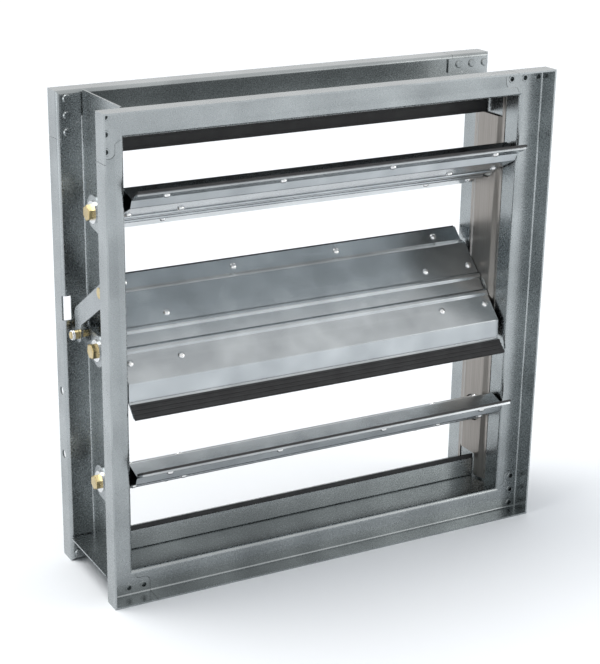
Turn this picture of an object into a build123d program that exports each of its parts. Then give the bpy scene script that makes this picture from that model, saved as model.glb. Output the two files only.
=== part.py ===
from build123d import *
import math
import os

# Volume control damper, three opposed double-skin blades in a hat-channel frame.
# Millimetres, +Z up, front face towards -Y, origin at the bottom centre of the frame.

# ---- frame -----------------------------------------------------------------
WIDTH = 450.8            # outside of the square frame, both ways
DEPTH = 127.0            # front brim edge to rear brim edge
SHEET = 1.6              # frame sheet
BEND = 1.6               # inside radius of every frame bend
LEG = 25.4               # outside height of a channel leg
BRIM = 18.5              # depth of the turned brim in front of each leg
GAP = 0.35               # joint line left between two frame members
TAB_LENGTH = 42.0        # corner tab along the next member
TAB_WIDTH = 17.0
TAB_ROUND = 5.5
TAB_SHOULDER = 31.0      # where the tab reaches the full leg height
CLINCH_PITCH = 14.8
CLINCH_FIRST = 6.5
CLINCH_INSET = 9.0
CLINCH_DIA = 7.4
CLINCH_HOLE = 5.0
CLINCH_PROUD = 1.6
LAP_END = 48.0           # end of the lap plate that lies behind each tab

# ---- duct bolts and sensor slot in the left rear brim and leg ---------------
BOLT_DIA = 8.0
BOLT_SPACING = 63.5
BOLT_MID_Z = 139.0
BOLT_Y = DEPTH / 2 - BRIM / 2 + 0.05
SLOT_BOTTOM = 242.0
SLOT_TALL = 23.0
SLOT_WIDE = 8.0

# ---- blades ----------------------------------------------------------------
AIRWAY = WIDTH / 2 - LEG # half the clear airway between the channel webs
LEG_FACE = DEPTH / 2 - BRIM
BLADES = 3
LIP_OVERLAP = 16.0       # how far closed neighbours lap
TIP_GAP = 1.5            # blade seal to head and sill webs
END_GAP = 3.5            # blade end to jamb web
BLADE_PITCH = (2 * AIRWAY - LIP_OVERLAP - 2 * TIP_GAP) / BLADES
BLADE_LENGTH = 2 * (AIRWAY - END_GAP)
BLADE_SHEET = 1.0
BLADE_HALF = 9.5         # middle of each skin from the blade plane
TIP = (BLADE_PITCH + LIP_OVERLAP) / 2    # edge of the blade seal from the axle
FLANGE_EDGE = TIP - 2.5  # edge of the double flange from the axle
FLANGE_ROOT = FLANGE_EDGE - 15.0
STEP_TOP = FLANGE_ROOT - 6.5
NOSE_TOP = FLANGE_ROOT - 13.0
FLANGE_OFFSET = 3.6      # contact plane of the two flanges
SEAL_FACE = 0.5
SEAL_ROOT = FLANGE_ROOT + 2.5
BEAD_AT = 9.6
BEAD_HALF = 3.2
BEAD_RAISE = 1.8
EDGE_RIVET_END = 29.5    # first edge rivet from the blade end
EDGE_RIVET_OUTER = BLADE_LENGTH / 2 - EDGE_RIVET_END
EDGE_RIVETS = [EDGE_RIVET_OUTER * third / 3 for third in (-3, -1, 1, 3)]
EDGE_RIVET_U = FLANGE_ROOT + 7.0
SADDLE_RIVETS = (BLADE_LENGTH / 2 - 57.5, BLADE_LENGTH / 2 - 7.5)
SADDLE_RIVET_U = 22.0
RIVET_HEAD = 6.6
RIVET_RAISE = 2.2
RIVET_SHANK = 4.0
REST_OUTER = 63.5        # turn of the top and bottom blades from closed to open
REST_MIDDLE = 45.0       # turn of the middle blade from closed to open

# ---- axles and bearings ----------------------------------------------------
HEX = 12.7               # across flats
AXLE_OUT = WIDTH / 2 - 7.4   # outer end of the drive-side stub axles
AXLE_OUT_IDLE = WIDTH / 2 - 13.4
SADDLE_OUT = BLADE_LENGTH / 2 - 0.5
SADDLE_IN = SADDLE_OUT - 67.0
AXLE_IN = SADDLE_IN - 1.0
SADDLE_HALF = SADDLE_RIVET_U + 8.0
SADDLE_NOTCH = 3.0       # wall left beyond a saddle rivet
SADDLE_EAR = 11.0        # length of the rivet ears at each end of a saddle
BEARING_DIA = 19.0
BEARING_FLANGE = 25.0
BEARING_STAND = 6.8      # bearing boss beyond the web
BORE_CLEARANCE = 0.05
WEB_HOLE_CLEARANCE = 0.05

# ---- stops and seals -------------------------------------------------------
STOP_SHEET = 1.0
STOP_FACE = 6.0          # stop face from the blade plane
STOP_HEIGHT = 19.4
STOP_FOOT = 20.0
STOP_SEAL = 2.0
STOP_SEAL_TOP = 23.4
RIB = 1.5                # width of the ribs on the rubber seals
STOP_END = 3.0           # stop end to jamb web
JAMB_SEAL_HALF = 24.0
JAMB_SEAL_SHEET = 0.5
JAMB_SEAL_BOW = 2.4
JAMB_SEAL_END = 2.0
JAMB_SEAL_HOLE = 27.0

# ---- linkage in the left trough --------------------------------------------
CRANK_PLATE = 2.2
CRANK_GAP = 0.4          # bearing boss to crank plate
CRANK_FACE = AIRWAY + SHEET + BEARING_STAND + CRANK_GAP
CRANK_HUB = 15.0
CRANK_END = 9.0
CRANK_ARM = LEG_FACE - 13.0
CRANK_ANGLE = 200.0      # top and bottom arms at rest, from +Y towards +Z
LEVER_ARM = CRANK_ARM - 2.0
LEVER_ANGLE = 14.0       # middle arm at rest
PIN_DIA = 6.4
PIN_CLEARANCE = 0.05
SIDE_CLEARANCE = 0.2
TIE_WIDTH = 16.0
TIE_PLATE = 2.2
LINK_GAP = 1.8           # tie bar to cross link
LINK_FACE = CRANK_FACE + CRANK_PLATE + SIDE_CLEARANCE + TIE_PLATE + LINK_GAP
LINK_PLATE = 2.2
LINK_PIN = (4.5 - CRANK_ARM, WIDTH / 2 + 62.6)
LINK_EYE = (LINK_PIN[0] - 2.81, LINK_PIN[1] - 1.22)
LINK_ELBOW = (CRANK_ARM - 5.0, WIDTH / 2 + 25.1)
LINK_WIDTH = 18.0
LINK_ARM_WIDTH = 15.0
LINK_EYE_DIA = 13.0
LINK_EYE_END = 9.5
PIN_HEAD_DIA = 10.0
PIN_HEAD = 1.4
STUD_END = WIDTH / 2 - 0.8   # outer end of the long middle pin
COLLAR_DIA = 8.6
COLLAR_LONG = 3.4
RING_WIRE = 1.5
RING_COILS = 2
WASHER_DIA = 20.0
WASHER = 1.6

HALF = WIDTH / 2
MID_Z = WIDTH / 2
WEB_OUT = AIRWAY + SHEET
HEX_CORNER = HEX / math.sqrt(3)
TIE_FACE = CRANK_FACE + CRANK_PLATE + SIDE_CLEARANCE
AXLES = {"top": MID_Z + BLADE_PITCH, "middle": MID_Z, "bottom": MID_Z - BLADE_PITCH}
REST_TURN = {"top": REST_OUTER, "middle": -REST_MIDDLE, "bottom": REST_OUTER}


def rounded_path(points, radii):
    """Lines and arcs along a chain of points, each inner corner rounded."""
    edges, start = [], Vector(*points[0])
    for i in range(1, len(points) - 1):
        corner = Vector(*points[i])
        before = (corner - Vector(*points[i - 1])).normalized()
        after = (Vector(*points[i + 1]) - corner).normalized()
        turn = math.acos(max(-1.0, min(1.0, before.dot(after))))
        run = radii[i] * math.tan(turn / 2)
        first, last = corner - before * run, corner + after * run
        middle = corner + (after - before).normalized() * (radii[i] / math.cos(turn / 2) - radii[i])
        edges += [Line(start, first), ThreePointArc(first, middle, last)]
        start = last
    edges.append(Line(start, Vector(*points[-1])))
    return edges, start


def sheet_section(points, thickness, bend):
    """Closed section of bent sheet whose middle line runs through the points."""
    sides = []
    for side in (1, -1):
        shifted, radii = [], []
        for i, point in enumerate(points):
            here = Vector(*point)
            before = (here - Vector(*points[i - 1])).normalized() if i else None
            after = (Vector(*points[i + 1]) - here).normalized() if i < len(points) - 1 else None
            before, after = before or after, after or before
            left = lambda d: Vector(-d.Y, d.X)
            normal = (left(before) + left(after)).normalized()
            reach = side * thickness / 2 / normal.dot(left(after))
            outer = side * (before.X * after.Y - before.Y * after.X) < 0
            moved = here + normal * reach
            shifted.append((moved.X, moved.Y))
            radii.append(bend + (thickness if outer else 0.0))
        sides.append((shifted, radii))
    edges = rounded_path(*sides[0])[0] + rounded_path(*sides[1])[0]
    for end in (0, -1):
        edges.append(Line(Vector(*sides[0][0][end]), Vector(*sides[1][0][end])))
    return make_face(edges)


def along_x(section, x0, x1):
    """Extrude a (Y, Z) section from x0 to x1."""
    plane = Plane(origin=(x0, 0, 0), x_dir=(0, 1, 0), z_dir=(1, 0, 0))
    return extrude(plane * section, amount=x1 - x0)


def rod(diameter, x0, x1, y, z):
    """Round bar lying along X."""
    plane = Plane(origin=(x0, y, z), x_dir=(0, 1, 0), z_dir=(1, 0, 0))
    return extrude(plane * Circle(diameter / 2), amount=x1 - x0)


def block(x0, x1, y0, y1, z0, z1):
    """Box between two corners."""
    size = (x1 - x0, y1 - y0, z1 - z0)
    return Pos((x0 + x1) / 2, (y0 + y1) / 2, (z0 + z1) / 2) * Box(*size)


def plate_xz(outline, y0, y1):
    """Plate cut to an (X, Z) outline between two Y planes."""
    plane = Plane(origin=(0, y0, 0), x_dir=(1, 0, 0), z_dir=(0, -1, 0))
    return extrude(plane * outline, amount=-(y1 - y0))


def quarter(shape, turns):
    """Turn a shape about the frame axis by quarter turns."""
    return Pos(0, 0, MID_Z) * Rot(0, -90 * turns, 0) * Pos(0, 0, -MID_Z) * shape


def group(solids):
    return Compound(children=[s for part in solids for s in part.solids()])


def export(name, shape):
    shape.label = name
    export_step(shape, os.path.join("parts", name + ".step"))


# ---- frame members ---------------------------------------------------------
def tab_outline(grow):
    """Outline of the tab at the lower right corner, turned up the right jamb."""
    width, length = TAB_WIDTH + grow, TAB_LENGTH + grow
    bridge = LEG - SHEET - BEND
    points = [(-SHEET, -SHEET), (bridge, bridge), (bridge, LEG + grow), (width, TAB_SHOULDER + grow),
              (width, length - TAB_ROUND), (width - TAB_ROUND, length), (-SHEET, length)]
    points = [(HALF - a, b) for a, b in points]
    lines = [Line(points[i], points[i + 1]) for i in range(2)]
    middle = ((points[2][0] + points[3][0]) / 2, (points[2][1] + points[3][1]) / 2)
    lines += [Spline(points[2], middle, points[3], tangents=[(0, 1), (0, 1)])]
    lines += [Line(points[3], points[4])]
    lines += [RadiusArc(points[4], points[5], TAB_ROUND)]
    lines += [Line(points[5], points[6]), Line(points[6], points[0])]
    return make_face(lines)


def mitred_member():
    """Hat channel of the sill, mitred at both ends."""
    y, low, high = LEG_FACE - SHEET / 2, SHEET / 2, LEG - SHEET / 2
    points = [(-DEPTH / 2, low), (-y, low), (-y, high), (y, high), (y, low), (DEPTH / 2, low)]
    channel = along_x(sheet_section(points, SHEET, BEND), -HALF, HALF)
    reach = LEG + GAP
    wedge = Polygon((-HALF, 0), (HALF, 0), (HALF - reach, reach), (-HALF + reach, reach), align=None)
    return channel & plate_xz(wedge, -DEPTH, DEPTH)


def clinch_places():
    """Clinch centres of the lower right corner as (X, Z)."""
    return [(HALF - CLINCH_INSET, CLINCH_FIRST + i * CLINCH_PITCH) for i in range(3)]


def channel_member():
    """The sill as made: tab turned up at its right end, lapped at its left end."""
    member = mitred_member()
    ahead = plate_xz(tab_outline(0), -DEPTH, DEPTH)
    behind = quarter(plate_xz(tab_outline(GAP), -DEPTH, DEPTH), -1)
    body = (member - behind) + (quarter(member, 1) & ahead)
    half_tongue = LEG_FACE - SHEET - BEND - GAP
    body += block(-HALF, -AIRWAY, -half_tongue, half_tongue, LEG - SHEET, LEG)
    body -= block(AIRWAY, WEB_OUT, -half_tongue, half_tongue, 0, LEG)
    lap = SHEET + BEND + GAP
    for side in (-1, 1):
        inner, outer = sorted((side * (LEG_FACE - 2 * SHEET), side * (LEG_FACE - SHEET)))
        body += block(-HALF + lap, -HALF + LAP_END, inner, outer, lap, TAB_WIDTH - GAP)
    for x, z in clinch_places():
        hole = Pos(x, 0, z) * Rot(90, 0, 0) * Cylinder(CLINCH_HOLE / 2, DEPTH)
        body -= hole
        body -= quarter(hole, -1)
    return body.solids().sort_by(SortBy.VOLUME)[-1]


def clinch(x, z, side):
    """Clinched dimple: open cup on the outer face, round button inside."""
    face, back = LEG_FACE, LEG_FACE - 2 * SHEET
    r, hole = CLINCH_DIA / 2, CLINCH_HOLE / 2
    lip = 0.4
    outline = Polyline((0, back - CLINCH_PROUD), (r - 0.8, back - CLINCH_PROUD), (r, back - 0.6),
                       (r, back), (hole, back), (hole, face), (r, face), (r - 0.3, face + lip),
                       (hole - 0.3, face + lip), (hole - 0.9, back), (0, back), close=True)
    cup = revolve(Plane.XY * make_face(outline), Axis.Y)
    if side < 0:
        cup = mirror(cup, Plane.XZ)
    return Pos(x, 0, z) * cup


def bearing_holes():
    holes = []
    for z in AXLES.values():
        holes.append(rod(BEARING_DIA + 2 * WEB_HOLE_CLEARANCE, -HALF, HALF, 0, z))
    return holes


member = channel_member()
left_jamb, right_jamb = quarter(member, 3), quarter(member, 1)
for hole in bearing_holes():
    left_jamb -= hole
    right_jamb -= hole
for z in (BOLT_MID_Z - BOLT_SPACING / 2, BOLT_MID_Z + BOLT_SPACING / 2):
    left_jamb -= rod(BOLT_DIA, -HALF - SHEET, -HALF + LEG / 2, BOLT_Y, z)
left_jamb -= block(-HALF - SHEET, -HALF + SLOT_WIDE, LEG_FACE - 2 * SHEET, LEG_FACE + SHEET,
                   SLOT_BOTTOM, SLOT_BOTTOM + SLOT_TALL)
os.makedirs("parts", exist_ok=True)
export("sill_channel", member)
export("right_jamb", right_jamb)
export("head_channel", quarter(member, 2))
export("left_jamb", left_jamb)
for name, side in (("corner_clinches_front", -1), ("corner_clinches_rear", 1)):
    corner = [clinch(x, z, side) for x, z in clinch_places()]
    export(name, group([quarter(cup, turn) for turn in range(4) for cup in corner]))


# ---- stops, stop seals and jamb seals --------------------------------------
def stop_angle():
    """Sill stop: upright in front of the blade plane, foot on the sill web."""
    foot = LEG + STOP_SHEET / 2
    face = -STOP_FACE + STOP_SHEET / 2
    points = [(face, LEG + STOP_HEIGHT), (face, foot), (face + STOP_FOOT, foot)]
    return along_x(sheet_section(points, STOP_SHEET, STOP_SHEET / 2), -AIRWAY + STOP_END, AIRWAY - STOP_END)


def stop_seal():
    """Black strip on the back of the stop, standing above it, with two ribs."""
    front = -STOP_FACE + STOP_SHEET
    base, top = LEG + 2 * STOP_SHEET, LEG + STOP_SEAL_TOP
    strip = block(-AIRWAY + STOP_END, AIRWAY - STOP_END, front, front + STOP_SEAL - 0.5, base, top)
    for z in (base + STOP_SEAL_TOP / 4, base + STOP_SEAL_TOP / 2, top - RIB):
        strip += block(-AIRWAY + STOP_END, AIRWAY - STOP_END, front + STOP_SEAL / 2, front + STOP_SEAL,
                       z - RIB / 2, z + RIB / 2)
    return strip


export("sill_stop", stop_angle())
export("sill_stop_seal", stop_seal())
export("head_stop", Pos(0, 0, WIDTH) * Rot(180, 0, 0) * stop_angle())
export("head_stop_seal", Pos(0, 0, WIDTH) * Rot(180, 0, 0) * stop_seal())


def jamb_seal(side):
    """Springy bowed strip on the inner face of a jamb web, holed for the bearings."""
    edge, bowed = AIRWAY - JAMB_SEAL_SHEET / 2, AIRWAY - JAMB_SEAL_BOW - JAMB_SEAL_SHEET / 2
    points = [(edge, -JAMB_SEAL_HALF), (edge, -JAMB_SEAL_HALF + 3), (bowed, -JAMB_SEAL_HALF + 9),
              (bowed, JAMB_SEAL_HALF - 9), (edge, JAMB_SEAL_HALF - 3), (edge, JAMB_SEAL_HALF)]
    base = LEG + JAMB_SEAL_END
    strip = extrude(Plane.XY.offset(base) * sheet_section(points, JAMB_SEAL_SHEET, 4.0),
                    amount=WIDTH - 2 * base)
    for z in AXLES.values():
        strip -= rod(JAMB_SEAL_HOLE, AIRWAY - 10, AIRWAY + 1, 0, z)
    notch = block(AIRWAY - 10, AIRWAY + 1, -STOP_FACE - 2, STOP_FOOT, LEG, LEG + STOP_SEAL_TOP + 1)
    strip -= notch
    strip -= Pos(0, 0, WIDTH) * Rot(180, 0, 0) * notch
    strip = strip.solids().sort_by(SortBy.VOLUME)[-1]
    return strip if side > 0 else mirror(strip, Plane.YZ)


export("left_jamb_seal", jamb_seal(-1))
export("right_jamb_seal", jamb_seal(1))


# ---- bearings --------------------------------------------------------------
def bearing(z):
    """Flanged bush pressed into the right jamb web, round bore for the hex axle."""
    bush = rod(BEARING_DIA, AIRWAY - 2.6, WEB_OUT + BEARING_STAND, 0, z)
    bush += rod(BEARING_FLANGE, WEB_OUT, WEB_OUT + 1.6, 0, z)
    bush += rod(BEARING_FLANGE, AIRWAY - 1.4, AIRWAY, 0, z)
    return bush - rod(2 * (HEX_CORNER + BORE_CLEARANCE), 0, HALF, 0, z)


right_bearings = group([bearing(z) for z in AXLES.values()])
export("right_bearings", right_bearings)
export("left_bearings", group([mirror(bearing(z), Plane.YZ) for z in AXLES.values()]))


# ---- blades ----------------------------------------------------------------
def skin(sign):
    """Blade skin in blade axes (Y across, Z along the chord); sign -1 is the front skin."""
    contact = FLANGE_OFFSET
    half = BLADE_SHEET / 2
    n = [(FLANGE_EDGE, contact + half), (FLANGE_ROOT, contact + half), (STEP_TOP, BLADE_HALF)]
    for centre in (BEAD_AT, -BEAD_AT):
        n += [(centre + BEAD_HALF, BLADE_HALF), (centre + BEAD_HALF / 2, BLADE_HALF + BEAD_RAISE),
              (centre - BEAD_HALF / 2, BLADE_HALF + BEAD_RAISE), (centre - BEAD_HALF, BLADE_HALF)]
    n += [(-NOSE_TOP, BLADE_HALF), (-FLANGE_ROOT, half - contact), (-FLANGE_EDGE, half - contact)]
    points = [(sign * across, -sign * along) for along, across in n]
    bends = BLADE_SHEET
    return along_x(sheet_section(points, BLADE_SHEET, bends), -BLADE_LENGTH / 2, BLADE_LENGTH / 2)


def edge_seal(sign):
    """Ribbed black strip against the flange; sign 1 is the upper edge behind the flange."""
    back = FLANGE_OFFSET - BLADE_SHEET
    strip = block(-BLADE_LENGTH / 2, BLADE_LENGTH / 2, -back, -SEAL_FACE - 0.6, SEAL_ROOT, TIP)
    for i in range(4):
        z = SEAL_ROOT + 1.5 + i * (TIP - SEAL_ROOT - 3) / 3
        strip += block(-BLADE_LENGTH / 2, BLADE_LENGTH / 2, -back, -SEAL_FACE, z - 0.8, z + 0.8)
    return strip if sign > 0 else Rot(180, 0, 0) * strip


def hexagon(z=0):
    """Hexagon with two flats parallel to the blade plane."""
    return Pos(0, z) * RegularPolygon(HEX_CORNER, 6, rotation=90)


def button(x, z, y0, y1, heads):
    """Rivet through the blade with a low domed head on the faces listed in heads (-1, 1)."""
    r, rise, shank = RIVET_HEAD / 2, RIVET_RAISE, RIVET_SHANK / 2
    body = Pos(0, (y0 + y1) / 2, 0) * Rot(90, 0, 0) * Cylinder(shank, y1 - y0)
    for side in heads:
        face = y0 if side < 0 else y1
        dome = [(0, rise), (r * 0.4, rise * 0.95), (r * 0.75, rise * 0.72), (r * 0.94, rise * 0.38),
                (r, 0), (0, 0)]
        outline = Polyline(*[(a, face + side * b) for a, b in dome], close=True)
        body += revolve(Plane.XY * make_face(outline), Axis.Y)
    return Pos(x, 0, z) * body


def shank_hole(x, z, diameter):
    return Pos(x, 0, z) * Rot(90, 0, 0) * Cylinder(diameter / 2, DEPTH / 2)


def place_blade(shape, name):
    """Put a blade part drawn closed at its axle, turned to the open rest position."""
    return Pos(0, 0, AXLES[name]) * Rot(REST_TURN[name], 0, 0) * shape


def rivet_places():
    """Rivets as (x, chord, near face, far face, headed sides), shared by holes and heads."""
    places = []
    outer = BLADE_HALF + BLADE_SHEET / 2
    near, far = FLANGE_OFFSET + BLADE_SHEET, FLANGE_OFFSET - BLADE_SHEET
    for x in EDGE_RIVETS:
        places.append((x, EDGE_RIVET_U, -near, -far, (-1,)))
        places.append((x, -EDGE_RIVET_U, far, near, (1,)))
    for x in SADDLE_RIVETS:
        for u in (-SADDLE_RIVET_U, SADDLE_RIVET_U):
            places += [(side * x, u, -outer, outer, (-1, 1)) for side in (-1, 1)]
    return places


def saddle():
    """Block between the skins that carries a stub axle."""
    inner = BLADE_HALF - BLADE_SHEET / 2
    body = block(SADDLE_IN, SADDLE_OUT, -inner, inner, -SADDLE_HALF, SADDLE_HALF)
    notch = SADDLE_RIVET_U + RIVET_SHANK / 2 + SADDLE_NOTCH
    for low, high in ((notch, SADDLE_HALF), (-SADDLE_HALF, -notch)):
        body -= block(SADDLE_IN + SADDLE_EAR, SADDLE_OUT - SADDLE_EAR, -inner, inner, low, high)
    return body - along_x(hexagon(), 0, HALF)


front_skin, back_skin, seat = skin(-1), skin(1), saddle()
upper_seal, lower_seal = edge_seal(1), edge_seal(-1)
rivets = []
for x, u, near, far, heads in rivet_places():
    hole = shank_hole(x, u, RIVET_SHANK)
    front_skin -= hole
    back_skin -= hole
    if abs(u) == SADDLE_RIVET_U and x > 0:
        seat -= hole
    rivets.append(button(x, u, near, far, heads))
seats = group([seat, mirror(seat, Plane.YZ)])
drive_axle = along_x(hexagon(), -AXLE_OUT, -AXLE_IN)
chamfered = drive_axle.faces().sort_by(Axis.X)[0].edges()
drive_axle = chamfer(chamfered, 0.8)
idle_axle = along_x(hexagon(), AXLE_IN, AXLE_OUT_IDLE)
washer_face = CRANK_FACE + CRANK_PLATE
washer = rod(WASHER_DIA, -washer_face - WASHER, -washer_face, 0, 0) - along_x(hexagon(), -HALF, 0)

for name in AXLES:
    pieces = {"front_skin": front_skin, "back_skin": back_skin, "upper_seal": upper_seal,
              "lower_seal": lower_seal, "rivets": group(rivets), "axle_saddles": seats,
              "drive_axle": drive_axle, "idle_axle": idle_axle, "axle_washer": washer}
    for piece, shape in pieces.items():
        export(name + "_" + piece, place_blade(shape, name))


# ---- linkage ---------------------------------------------------------------
def polar(arm, angle):
    return arm * math.cos(math.radians(angle)), arm * math.sin(math.radians(angle))


def bar_section(start, end, start_radius, end_radius):
    """Plate outline (Y, Z) that wraps two round ends."""
    return make_hull(Sketch() + [Pos(*start) * Circle(start_radius), Pos(*end) * Circle(end_radius)])


def plate_x(section, face, thickness):
    """Plate standing across X in the left trough, near face at -face."""
    return along_x(section, -face - thickness, -face)


def make_hull(sketch):
    return Sketch() + make_face(Wire.make_convex_hull(sketch.edges()).edges())


def crank(name, arm, angle):
    """Crank plate on the hex of one axle with a hole for its pin."""
    pin = polar(arm, angle)
    plate = plate_x(bar_section((0, 0), pin, CRANK_HUB, CRANK_END), CRANK_FACE, CRANK_PLATE)
    plate -= Rot(REST_TURN[name], 0, 0) * along_x(hexagon(), -HALF, 0)
    plate -= rod(PIN_DIA, -HALF, 0, *pin)
    return Pos(0, 0, AXLES[name]) * plate


def headed_pin(y, z, inner, outer):
    """Pin along X with a flat head at its outer end and a riveted foot."""
    pin = rod(PIN_DIA, -outer, -inner, y, z)
    return pin + rod(PIN_HEAD_DIA, -outer, -outer + PIN_HEAD, y, z)


crank_pin = polar(CRANK_ARM, CRANK_ANGLE)
lever_pin = polar(LEVER_ARM, LEVER_ANGLE)
tie_end = TIE_FACE + TIE_PLATE
link_end = LINK_FACE + LINK_PLATE
pin_hole = PIN_DIA + 2 * PIN_CLEARANCE
for name in ("top", "bottom"):
    export(name + "_crank", crank(name, CRANK_ARM, CRANK_ANGLE))
    y, z = crank_pin[0], AXLES[name] + crank_pin[1]
    export(name + "_crank_pin", headed_pin(y, z, CRANK_FACE - 1.0, tie_end + SIDE_CLEARANCE + PIN_HEAD))
export("middle_crank", crank("middle", LEVER_ARM, LEVER_ANGLE))
lever_y, lever_z = lever_pin[0], AXLES["middle"] + lever_pin[1]
stud = rod(PIN_DIA, -STUD_END, -CRANK_FACE + 1.0, lever_y, lever_z)
collar_face = link_end + SIDE_CLEARANCE
stud += rod(COLLAR_DIA, -collar_face - COLLAR_LONG, -collar_face, lever_y, lever_z)
export("middle_crank_pin", stud)
coil = Plane(origin=(0, lever_y, lever_z), z_dir=(1, 0, 0))
coil = coil * Torus(PIN_DIA / 2 + RING_WIRE / 2, RING_WIRE / 2)
first_coil = collar_face + COLLAR_LONG + RING_WIRE / 2
coils = [Pos(-first_coil - i * RING_WIRE, 0, 0) * coil for i in range(RING_COILS)]
export("middle_pin_ring", group(coils))

tie_top, tie_bottom = AXLES["top"] + crank_pin[1], AXLES["bottom"] + crank_pin[1]
tie_outline = bar_section((crank_pin[0], tie_bottom), (crank_pin[0], tie_top), TIE_WIDTH / 2, TIE_WIDTH / 2)
tie_bar = plate_x(tie_outline, TIE_FACE, TIE_PLATE)
for z in (tie_top, tie_bottom):
    tie_bar -= rod(pin_hole, -HALF, 0, crank_pin[0], z)
tie_bar -= rod(PIN_DIA, -HALF, 0, *LINK_PIN)
export("tie_bar", tie_bar)
export("link_pin", headed_pin(*LINK_PIN, TIE_FACE, link_end + SIDE_CLEARANCE + PIN_HEAD))

arm = bar_section(LINK_ELBOW, (lever_y, lever_z), LINK_ARM_WIDTH / 2, LINK_ARM_WIDTH / 2)
link = plate_x(arm, LINK_FACE, LINK_PLATE)
link += plate_x(bar_section(LINK_EYE, LINK_ELBOW, LINK_EYE_END, LINK_WIDTH / 2), LINK_FACE, LINK_PLATE)
link -= rod(LINK_EYE_DIA, -HALF, 0, *LINK_EYE)
link -= rod(pin_hole, -HALF, 0, lever_y, lever_z)
export("cross_link", link)
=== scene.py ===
import bmesh
import bpy
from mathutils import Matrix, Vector


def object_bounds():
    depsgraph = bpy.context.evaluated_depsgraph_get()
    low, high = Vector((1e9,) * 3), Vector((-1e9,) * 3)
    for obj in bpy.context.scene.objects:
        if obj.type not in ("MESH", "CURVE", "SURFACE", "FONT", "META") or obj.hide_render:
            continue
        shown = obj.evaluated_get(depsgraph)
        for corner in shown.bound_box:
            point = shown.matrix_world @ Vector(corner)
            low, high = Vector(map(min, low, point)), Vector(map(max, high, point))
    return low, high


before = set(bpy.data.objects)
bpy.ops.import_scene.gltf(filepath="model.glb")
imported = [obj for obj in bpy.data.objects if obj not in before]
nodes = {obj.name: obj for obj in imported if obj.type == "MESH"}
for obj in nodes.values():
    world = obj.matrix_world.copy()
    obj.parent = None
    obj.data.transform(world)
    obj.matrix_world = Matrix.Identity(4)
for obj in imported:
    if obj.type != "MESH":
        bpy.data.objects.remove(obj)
size_at_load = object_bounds()

# ---- shared effect: galvanised spangle -------------------------------------
# Hot-dip zinc freezes into small crystals that each tilt a little differently.
# Outputs a mottling value, a cell value, an edge-wear mask and a normal that
# carries the crystals and the faint waviness of rolled sheet.
spangle = bpy.data.node_groups.new("zinc_spangle", "ShaderNodeTree")
for title, kind, default in (("Scale", "NodeSocketFloat", 1.0), ("Relief", "NodeSocketFloat", 0.1)):
    socket = spangle.interface.new_socket(title, in_out="INPUT", socket_type=kind)
    socket.default_value = default
for title, kind in (("Mottle", "NodeSocketFloat"), ("Cells", "NodeSocketFloat"),
                    ("Wear", "NodeSocketFloat"), ("Normal", "NodeSocketVector")):
    spangle.interface.new_socket(title, in_out="OUTPUT", socket_type=kind)
tree, links = spangle.nodes, spangle.links
mottle_scale, crystal_scale, grain_scale, ripple_scale = 18.0, 700.0, 900.0, 8.0
wear_from, wear_to, wear_most = 0.52, 0.80, 0.30
entry, leave = tree.new("NodeGroupInput"), tree.new("NodeGroupOutput")
place = tree.new("ShaderNodeTexCoord")
size_up = tree.new("ShaderNodeVectorMath")
size_up.operation = "SCALE"
links.new(place.outputs["Object"], size_up.inputs[0])
links.new(entry.outputs["Scale"], size_up.inputs["Scale"])
mottle = tree.new("ShaderNodeTexNoise")
mottle.inputs["Scale"].default_value = mottle_scale
mottle.inputs["Detail"].default_value = 2.0
mottle.inputs["Roughness"].default_value = 0.5
links.new(size_up.outputs[0], mottle.inputs["Vector"])
cells = tree.new("ShaderNodeTexVoronoi")
cells.inputs["Scale"].default_value = crystal_scale
cells.inputs["Randomness"].default_value = 1.0
links.new(size_up.outputs[0], cells.inputs["Vector"])
cell_value = tree.new("ShaderNodeSeparateColor")
links.new(cells.outputs["Color"], cell_value.inputs["Color"])
fine = tree.new("ShaderNodeTexNoise")
fine.inputs["Scale"].default_value = grain_scale
fine.inputs["Detail"].default_value = 3.0
links.new(size_up.outputs[0], fine.inputs["Vector"])
height = tree.new("ShaderNodeMath")
height.operation = "MULTIPLY_ADD"
height.inputs[1].default_value = 0.6
links.new(cell_value.outputs["Red"], height.inputs[0])
links.new(fine.outputs["Fac"], height.inputs[2])
bump = tree.new("ShaderNodeBump")
bump.inputs["Distance"].default_value = 0.0002
links.new(entry.outputs["Relief"], bump.inputs["Strength"])
links.new(height.outputs[0], bump.inputs["Height"])
ripple = tree.new("ShaderNodeTexNoise")
ripple.inputs["Scale"].default_value = ripple_scale
ripple.inputs["Detail"].default_value = 1.0
links.new(size_up.outputs[0], ripple.inputs["Vector"])
waves = tree.new("ShaderNodeBump")
waves.inputs["Distance"].default_value = 0.004
waves.inputs["Strength"].default_value = 0.06
links.new(ripple.outputs["Fac"], waves.inputs["Height"])
links.new(waves.outputs["Normal"], bump.inputs["Normal"])
form = tree.new("ShaderNodeNewGeometry")
wear = tree.new("ShaderNodeMapRange")
wear.inputs["From Min"].default_value = wear_from
wear.inputs["From Max"].default_value = wear_to
wear.inputs["To Max"].default_value = wear_most
links.new(form.outputs["Pointiness"], wear.inputs["Value"])
links.new(mottle.outputs["Fac"], leave.inputs["Mottle"])
links.new(cell_value.outputs["Green"], leave.inputs["Cells"])
links.new(wear.outputs["Result"], leave.inputs["Wear"])
links.new(bump.outputs["Normal"], leave.inputs["Normal"])

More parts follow.
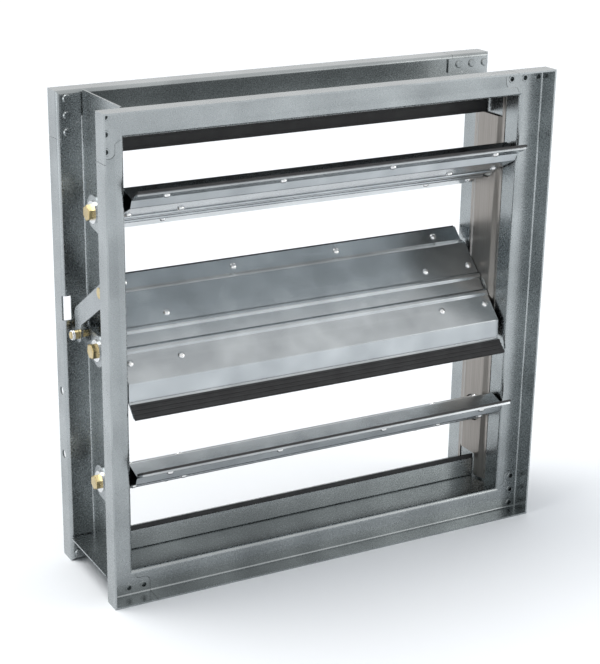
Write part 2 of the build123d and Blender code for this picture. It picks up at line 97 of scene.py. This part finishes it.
# ---- frame: jambs, head and sill channels, stops, corner tabs --------------
# Roll-formed 16 gauge galvanised sheet, semi-bright, with a cool grey mottling.
# Bends are burnished a little brighter where the zinc was stretched.
galvanised = bpy.data.materials.new("galvanised_frame")
galvanised.use_nodes = True
tree, links = galvanised.node_tree.nodes, galvanised.node_tree.links
surface = tree["Principled BSDF"]
zinc = tree.new("ShaderNodeGroup")
zinc.node_tree = spangle
zinc.inputs["Scale"].default_value = 1.0
zinc.inputs["Relief"].default_value = 0.003
tone = tree.new("ShaderNodeValToRGB")
tone.color_ramp.elements[0].position = 0.32
tone.color_ramp.elements[0].color = (0.25, 0.27, 0.275, 1)
tone.color_ramp.elements[1].position = 0.70
tone.color_ramp.elements[1].color = (0.36, 0.385, 0.39, 1)
grain = tree.new("ShaderNodeMix")
grain.data_type = "RGBA"
grain.blend_type = "MULTIPLY"
grain.inputs["Factor"].default_value = 0.015
bright = tree.new("ShaderNodeMix")
bright.data_type = "RGBA"
bright.inputs["B"].default_value = (0.70, 0.72, 0.73, 1)
rough = tree.new("ShaderNodeMapRange")
rough.inputs["To Min"].default_value = 0.26
rough.inputs["To Max"].default_value = 0.28
links.new(zinc.outputs["Mottle"], tone.inputs["Fac"])
links.new(tone.outputs["Color"], grain.inputs["A"])
links.new(zinc.outputs["Cells"], grain.inputs["B"])
links.new(grain.outputs["Result"], bright.inputs["A"])
links.new(zinc.outputs["Wear"], bright.inputs["Factor"])
links.new(bright.outputs["Result"], surface.inputs["Base Color"])
links.new(zinc.outputs["Cells"], rough.inputs["Value"])
links.new(rough.outputs["Result"], surface.inputs["Roughness"])
links.new(zinc.outputs["Normal"], surface.inputs["Normal"])
surface.inputs["Metallic"].default_value = 1.0
for name in ("left_jamb", "right_jamb", "head_channel", "sill_channel", "head_stop", "sill_stop",
             "corner_clinches_front", "corner_clinches_rear"):
    nodes[name].data.materials.clear()
    nodes[name].data.materials.append(galvanised)

# ---- blades: double skins and their axle saddles ---------------------------
# Thinner galvanised sheet, brighter and smoother than the frame, with finer
# spangle; the pressed beads and rounded noses catch the light.
blade_zinc = galvanised.copy()
blade_zinc.name = "galvanised_blade"
tree = blade_zinc.node_tree.nodes
for node in tree:
    if node.type == "GROUP":
        node.inputs["Scale"].default_value = 1.35
        node.inputs["Relief"].default_value = 0.004
    if node.type == "VALTORGB":
        node.color_ramp.elements[0].color = (0.34, 0.365, 0.38, 1)
        node.color_ramp.elements[1].color = (0.49, 0.52, 0.535, 1)
    if node.type == "MAP_RANGE":
        node.inputs["To Min"].default_value = 0.23
        node.inputs["To Max"].default_value = 0.25
for name in ("top", "middle", "bottom"):
    for piece in ("front_skin", "back_skin", "axle_saddles"):
        nodes[name + "_" + piece].data.materials.clear()
        nodes[name + "_" + piece].data.materials.append(blade_zinc)

# ---- linkage: cranks, tie bar and cross link -------------------------------
# Stamped galvanised plate, a little duller than the blades, sheared edges.
link_zinc = galvanised.copy()
link_zinc.name = "galvanised_linkage"
for node in link_zinc.node_tree.nodes:
    if node.type == "VALTORGB":
        node.color_ramp.elements[0].color = (0.27, 0.29, 0.30, 1)
        node.color_ramp.elements[1].color = (0.39, 0.415, 0.42, 1)
for name in ("top_crank", "middle_crank", "bottom_crank", "tie_bar", "cross_link"):
    nodes[name].data.materials.clear()
    nodes[name].data.materials.append(link_zinc)

# ---- rivets, washers and retaining ring ------------------------------------
# Small bright zinc-plated steel pieces, headed by a rivet tool.
plated = bpy.data.materials.new("bright_zinc_plate")
plated.use_nodes = True
tree, links = plated.node_tree.nodes, plated.node_tree.links
surface = tree["Principled BSDF"]
zinc = tree.new("ShaderNodeGroup")
zinc.node_tree = spangle
zinc.inputs["Scale"].default_value = 2.5
zinc.inputs["Relief"].default_value = 0.10
tone = tree.new("ShaderNodeValToRGB")
tone.color_ramp.elements[0].color = (0.62, 0.63, 0.64, 1)
tone.color_ramp.elements[1].color = (0.84, 0.84, 0.83, 1)
rough = tree.new("ShaderNodeMapRange")
rough.inputs["To Min"].default_value = 0.16
rough.inputs["To Max"].default_value = 0.30
bright = tree.new("ShaderNodeMix")
bright.data_type = "RGBA"
bright.inputs["B"].default_value = (0.92, 0.92, 0.90, 1)
links.new(zinc.outputs["Mottle"], tone.inputs["Fac"])
links.new(tone.outputs["Color"], bright.inputs["A"])
links.new(zinc.outputs["Wear"], bright.inputs["Factor"])
links.new(bright.outputs["Result"], surface.inputs["Base Color"])
links.new(zinc.outputs["Mottle"], rough.inputs["Value"])
links.new(rough.outputs["Result"], surface.inputs["Roughness"])
links.new(zinc.outputs["Normal"], surface.inputs["Normal"])
surface.inputs["Metallic"].default_value = 1.0
for name in ("top_rivets", "middle_rivets", "bottom_rivets", "top_axle_washer",
             "middle_axle_washer", "bottom_axle_washer", "middle_pin_ring"):
    nodes[name].data.materials.clear()
    nodes[name].data.materials.append(plated)

# ---- axles and pins --------------------------------------------------------
# Hexagonal bar and turned pins in yellow passivated zinc: three tones of gold,
# darker where the coat is thick.
yellow = bpy.data.materials.new("yellow_zinc_plate")
yellow.use_nodes = True
tree, links = yellow.node_tree.nodes, yellow.node_tree.links
surface = tree["Principled BSDF"]
zinc = tree.new("ShaderNodeGroup")
zinc.node_tree = spangle
zinc.inputs["Scale"].default_value = 4.0
zinc.inputs["Relief"].default_value = 0.12
tone = tree.new("ShaderNodeValToRGB")
tone.color_ramp.elements[0].position = 0.3
tone.color_ramp.elements[0].color = (0.36, 0.27, 0.12, 1)
tone.color_ramp.elements[1].position = 0.72
tone.color_ramp.elements[1].color = (0.66, 0.55, 0.33, 1)
middle_tone = tone.color_ramp.elements.new(0.5)
middle_tone.color = (0.52, 0.41, 0.20, 1)
bright = tree.new("ShaderNodeMix")
bright.data_type = "RGBA"
bright.inputs["B"].default_value = (0.75, 0.68, 0.50, 1)
rough = tree.new("ShaderNodeMapRange")
rough.inputs["To Min"].default_value = 0.18
rough.inputs["To Max"].default_value = 0.38
links.new(zinc.outputs["Mottle"], tone.inputs["Fac"])
links.new(tone.outputs["Color"], bright.inputs["A"])
links.new(zinc.outputs["Wear"], bright.inputs["Factor"])
links.new(bright.outputs["Result"], surface.inputs["Base Color"])
links.new(zinc.outputs["Mottle"], rough.inputs["Value"])
links.new(rough.outputs["Result"], surface.inputs["Roughness"])
links.new(zinc.outputs["Normal"], surface.inputs["Normal"])
surface.inputs["Metallic"].default_value = 1.0
for name in ("top_drive_axle", "middle_drive_axle", "bottom_drive_axle", "top_idle_axle",
             "middle_idle_axle", "bottom_idle_axle", "top_crank_pin", "middle_crank_pin",
             "bottom_crank_pin", "link_pin"):
    nodes[name].data.materials.clear()
    nodes[name].data.materials.append(yellow)

# ---- jamb seals ------------------------------------------------------------
# Thin rolled stainless spring strip, warmer and smoother than the zinc, with
# drawing lines along its length.
spring = bpy.data.materials.new("spring_strip")
spring.use_nodes = True
tree, links = spring.node_tree.nodes, spring.node_tree.links
surface = tree["Principled BSDF"]
place = tree.new("ShaderNodeTexCoord")
stretch = tree.new("ShaderNodeMapping")
stretch.inputs["Scale"].default_value = (1.0, 260.0, 2.0)
lines = tree.new("ShaderNodeTexNoise")
lines.inputs["Scale"].default_value = 6.0
lines.inputs["Detail"].default_value = 4.0
tone = tree.new("ShaderNodeValToRGB")
tone.color_ramp.elements[0].position = 0.3
tone.color_ramp.elements[0].color = (0.20, 0.182, 0.165, 1)
tone.color_ramp.elements[1].position = 0.7
tone.color_ramp.elements[1].color = (0.32, 0.295, 0.27, 1)
zinc = tree.new("ShaderNodeGroup")
zinc.node_tree = spangle
zinc.inputs["Relief"].default_value = 0.06
bright = tree.new("ShaderNodeMix")
bright.data_type = "RGBA"
bright.inputs["B"].default_value = (0.75, 0.74, 0.72, 1)
rough = tree.new("ShaderNodeMapRange")
rough.inputs["To Min"].default_value = 0.24
rough.inputs["To Max"].default_value = 0.40
links.new(place.outputs["Object"], stretch.inputs["Vector"])
links.new(stretch.outputs["Vector"], lines.inputs["Vector"])
links.new(lines.outputs["Fac"], tone.inputs["Fac"])
links.new(tone.outputs["Color"], bright.inputs["A"])
links.new(zinc.outputs["Wear"], bright.inputs["Factor"])
links.new(bright.outputs["Result"], surface.inputs["Base Color"])
links.new(lines.outputs["Fac"], rough.inputs["Value"])
links.new(rough.outputs["Result"], surface.inputs["Roughness"])
links.new(zinc.outputs["Normal"], surface.inputs["Normal"])
surface.inputs["Metallic"].default_value = 1.0
for name in ("left_jamb_seal", "right_jamb_seal"):
    nodes[name].data.materials.clear()
    nodes[name].data.materials.append(spring)

# ---- blade edge seals and stop seals ---------------------------------------
# Extruded black rubber held by the flanges, matt with a dusty bloom.
rubber = bpy.data.materials.new("black_rubber")
rubber.use_nodes = True
tree, links = rubber.node_tree.nodes, rubber.node_tree.links
surface = tree["Principled BSDF"]
place = tree.new("ShaderNodeTexCoord")
bloom = tree.new("ShaderNodeTexNoise")
bloom.inputs["Scale"].default_value = 60.0
bloom.inputs["Detail"].default_value = 5.0
tone = tree.new("ShaderNodeValToRGB")
tone.color_ramp.elements[0].position = 0.35
tone.color_ramp.elements[0].color = (0.012, 0.012, 0.013, 1)
tone.color_ramp.elements[1].position = 0.75
tone.color_ramp.elements[1].color = (0.034, 0.034, 0.035, 1)
rough = tree.new("ShaderNodeMapRange")
rough.inputs["To Min"].default_value = 0.42
rough.inputs["To Max"].default_value = 0.62
skin_bump = tree.new("ShaderNodeBump")
skin_bump.inputs["Distance"].default_value = 0.0001
skin_bump.inputs["Strength"].default_value = 0.3
links.new(place.outputs["Object"], bloom.inputs["Vector"])
links.new(bloom.outputs["Fac"], tone.inputs["Fac"])
links.new(tone.outputs["Color"], surface.inputs["Base Color"])
links.new(bloom.outputs["Fac"], rough.inputs["Value"])
links.new(rough.outputs["Result"], surface.inputs["Roughness"])
links.new(bloom.outputs["Fac"], skin_bump.inputs["Height"])
links.new(skin_bump.outputs["Normal"], surface.inputs["Normal"])
for name in ("head_stop_seal", "sill_stop_seal", "top_upper_seal", "top_lower_seal",
             "middle_upper_seal", "middle_lower_seal", "bottom_upper_seal", "bottom_lower_seal"):
    nodes[name].data.materials.clear()
    nodes[name].data.materials.append(rubber)

# ---- bearings --------------------------------------------------------------
# Pale moulded polymer bushes snapped into the jamb webs.
polymer = bpy.data.materials.new("bearing_polymer")
polymer.use_nodes = True
tree, links = polymer.node_tree.nodes, polymer.node_tree.links
surface = tree["Principled BSDF"]
place = tree.new("ShaderNodeTexCoord")
cloud = tree.new("ShaderNodeTexNoise")
cloud.inputs["Scale"].default_value = 90.0
cloud.inputs["Detail"].default_value = 4.0
tone = tree.new("ShaderNodeValToRGB")
tone.color_ramp.elements[0].color = (0.66, 0.66, 0.63, 1)
tone.color_ramp.elements[1].color = (0.82, 0.82, 0.79, 1)
rough = tree.new("ShaderNodeMapRange")
rough.inputs["To Min"].default_value = 0.35
rough.inputs["To Max"].default_value = 0.5
mould = tree.new("ShaderNodeBump")
mould.inputs["Distance"].default_value = 0.0001
mould.inputs["Strength"].default_value = 0.15
links.new(place.outputs["Object"], cloud.inputs["Vector"])
links.new(cloud.outputs["Fac"], tone.inputs["Fac"])
links.new(tone.outputs["Color"], surface.inputs["Base Color"])
links.new(cloud.outputs["Fac"], rough.inputs["Value"])
links.new(rough.outputs["Result"], surface.inputs["Roughness"])
links.new(cloud.outputs["Fac"], mould.inputs["Height"])
links.new(mould.outputs["Normal"], surface.inputs["Normal"])
for name in ("left_bearings", "right_bearings"):
    nodes[name].data.materials.clear()
    nodes[name].data.materials.append(polymer)

# ---- floor -----------------------------------------------------------------
# Plain pale studio floor, level with the lowest point of the damper.
floor_half_side = 6.0
floor_level = size_at_load[0][2]
mesh = bpy.data.meshes.new("floor")
shape = bmesh.new()
bmesh.ops.create_grid(shape, x_segments=1, y_segments=1, size=floor_half_side)
bmesh.ops.translate(shape, vec=Vector((0, 0, floor_level)), verts=shape.verts)
shape.to_mesh(mesh)
shape.free()
floor = bpy.data.objects.new("floor", mesh)
bpy.context.collection.objects.link(floor)
pale = bpy.data.materials.new("pale_floor")
pale.use_nodes = True
tree, links = pale.node_tree.nodes, pale.node_tree.links
surface = tree["Principled BSDF"]
place = tree.new("ShaderNodeTexCoord")
paper = tree.new("ShaderNodeTexNoise")
paper.inputs["Scale"].default_value = 4.0
tone = tree.new("ShaderNodeValToRGB")
tone.color_ramp.elements[0].color = (0.86, 0.86, 0.86, 1)
tone.color_ramp.elements[1].color = (0.90, 0.90, 0.90, 1)
links.new(place.outputs["Object"], paper.inputs["Vector"])
links.new(paper.outputs["Fac"], tone.inputs["Fac"])
links.new(tone.outputs["Color"], surface.inputs["Base Color"])
surface.inputs["Roughness"].default_value = 0.7
surface.inputs["Specular IOR Level"].default_value = 0.1
floor.data.materials.append(pale)

# ---- studio light ----------------------------------------------------------
# Camera, glossy and transmission rays see a white backdrop; diffuse light
# comes from a soft graded room. A sun and two panels add the highlights.
world = bpy.data.worlds.new("studio")
bpy.context.scene.world = world
world.use_nodes = True
tree, links = world.node_tree.nodes, world.node_tree.links
tree.clear()
place = tree.new("ShaderNodeTexCoord")
split = tree.new("ShaderNodeSeparateXYZ")
lean = tree.new("ShaderNodeMath")
lean.operation = "MULTIPLY_ADD"
lean.inputs[1].default_value = 0.35
grade = tree.new("ShaderNodeValToRGB")
stops = ((0.0, (0.30, 0.31, 0.31)), (0.40, (0.13, 0.14, 0.14)), (0.5, (0.05, 0.06, 0.06)),
         (0.60, (0.16, 0.19, 0.21)), (0.78, (0.55, 0.62, 0.70)), (1.0, (0.95, 0.97, 1.0)))
while len(grade.color_ramp.elements) < len(stops):
    grade.color_ramp.elements.new(0.5)
for element, (position, colour) in zip(grade.color_ramp.elements, stops):
    element.position = position
    element.color = (*colour, 1)
half = tree.new("ShaderNodeMath")
half.operation = "MULTIPLY_ADD"
half.inputs[1].default_value = 0.5
half.inputs[2].default_value = 0.5
room = tree.new("ShaderNodeBackground")
room.inputs["Strength"].default_value = 1.0
backdrop = tree.new("ShaderNodeBackground")
backdrop.inputs["Color"].default_value = (1, 1, 1, 1)
backdrop.inputs["Strength"].default_value = 1.0
path = tree.new("ShaderNodeLightPath")
mirrored = tree.new("ShaderNodeMath")
mirrored.operation = "ADD"
shown = tree.new("ShaderNodeMath")
shown.operation = "ADD"
shown.use_clamp = True
choose = tree.new("ShaderNodeMixShader")
leave = tree.new("ShaderNodeOutputWorld")
links.new(place.outputs["Generated"], split.inputs[0])
links.new(split.outputs["X"], lean.inputs[0])
links.new(split.outputs["Z"], lean.inputs[2])
links.new(lean.outputs[0], half.inputs[0])
links.new(half.outputs[0], grade.inputs["Fac"])
links.new(grade.outputs["Color"], room.inputs["Color"])
links.new(path.outputs["Is Glossy Ray"], mirrored.inputs[0])
links.new(path.outputs["Is Transmission Ray"], mirrored.inputs[1])
links.new(mirrored.outputs[0], shown.inputs[0])
links.new(path.outputs["Is Camera Ray"], shown.inputs[1])
links.new(shown.outputs[0], choose.inputs["Fac"])
links.new(room.outputs[0], choose.inputs[1])
links.new(backdrop.outputs[0], choose.inputs[2])
links.new(choose.outputs[0], leave.inputs["Surface"])
sun_from = Vector((-0.45, 0.30, 1.2))
lamps_aim = Vector((0, 0, 0.2))
sun_lamp = bpy.data.lights.new("overhead", "SUN")
sun_lamp.energy = 2.0
sun_lamp.angle = 0.7
sun = bpy.data.objects.new("overhead", sun_lamp)
sun.location = (0.5, -0.5, 2.0)
sun.rotation_euler = (-sun_from).to_track_quat("-Z", "Y").to_euler()
bpy.context.collection.objects.link(sun)
for name, spot, energy, width, tint in (
        ("key", (1.9, -1.5, 0.9), 9.0, 1.0, (1.0, 0.99, 0.97)),
        ("side", (-2.2, -0.3, 0.5), 5.0, 0.8, (0.96, 0.98, 1.0))):
    lamp = bpy.data.lights.new(name, "AREA")
    lamp.energy = energy
    lamp.size = width
    lamp.color = tint
    light = bpy.data.objects.new(name, lamp)
    light.location = spot
    light.rotation_euler = (lamps_aim - Vector(spot)).to_track_quat("-Z", "Y").to_euler()
    bpy.context.collection.objects.link(light)

# ---- camera ----------------------------------------------------------------
# Long lens at the viewpoint worked out from the frame's corners.
viewpoint = Vector((-0.7210, -1.2786, 0.7233))
aim = Vector((-0.1164, -0.0635, 0.2345))
focal_length, sensor_width = 89.1, 36.0
shift_right, shift_up = 0.114, 0.022
lens = bpy.data.cameras.new("camera")
lens.lens = focal_length
lens.sensor_width = sensor_width
lens.shift_x = shift_right
lens.shift_y = shift_up
camera = bpy.data.objects.new("camera", lens)
camera.location = viewpoint
camera.rotation_euler = (aim - viewpoint).to_track_quat("-Z", "Y").to_euler()
bpy.context.collection.objects.link(camera)
bpy.context.scene.camera = camera
bpy.context.scene.view_settings.view_transform = "Standard"
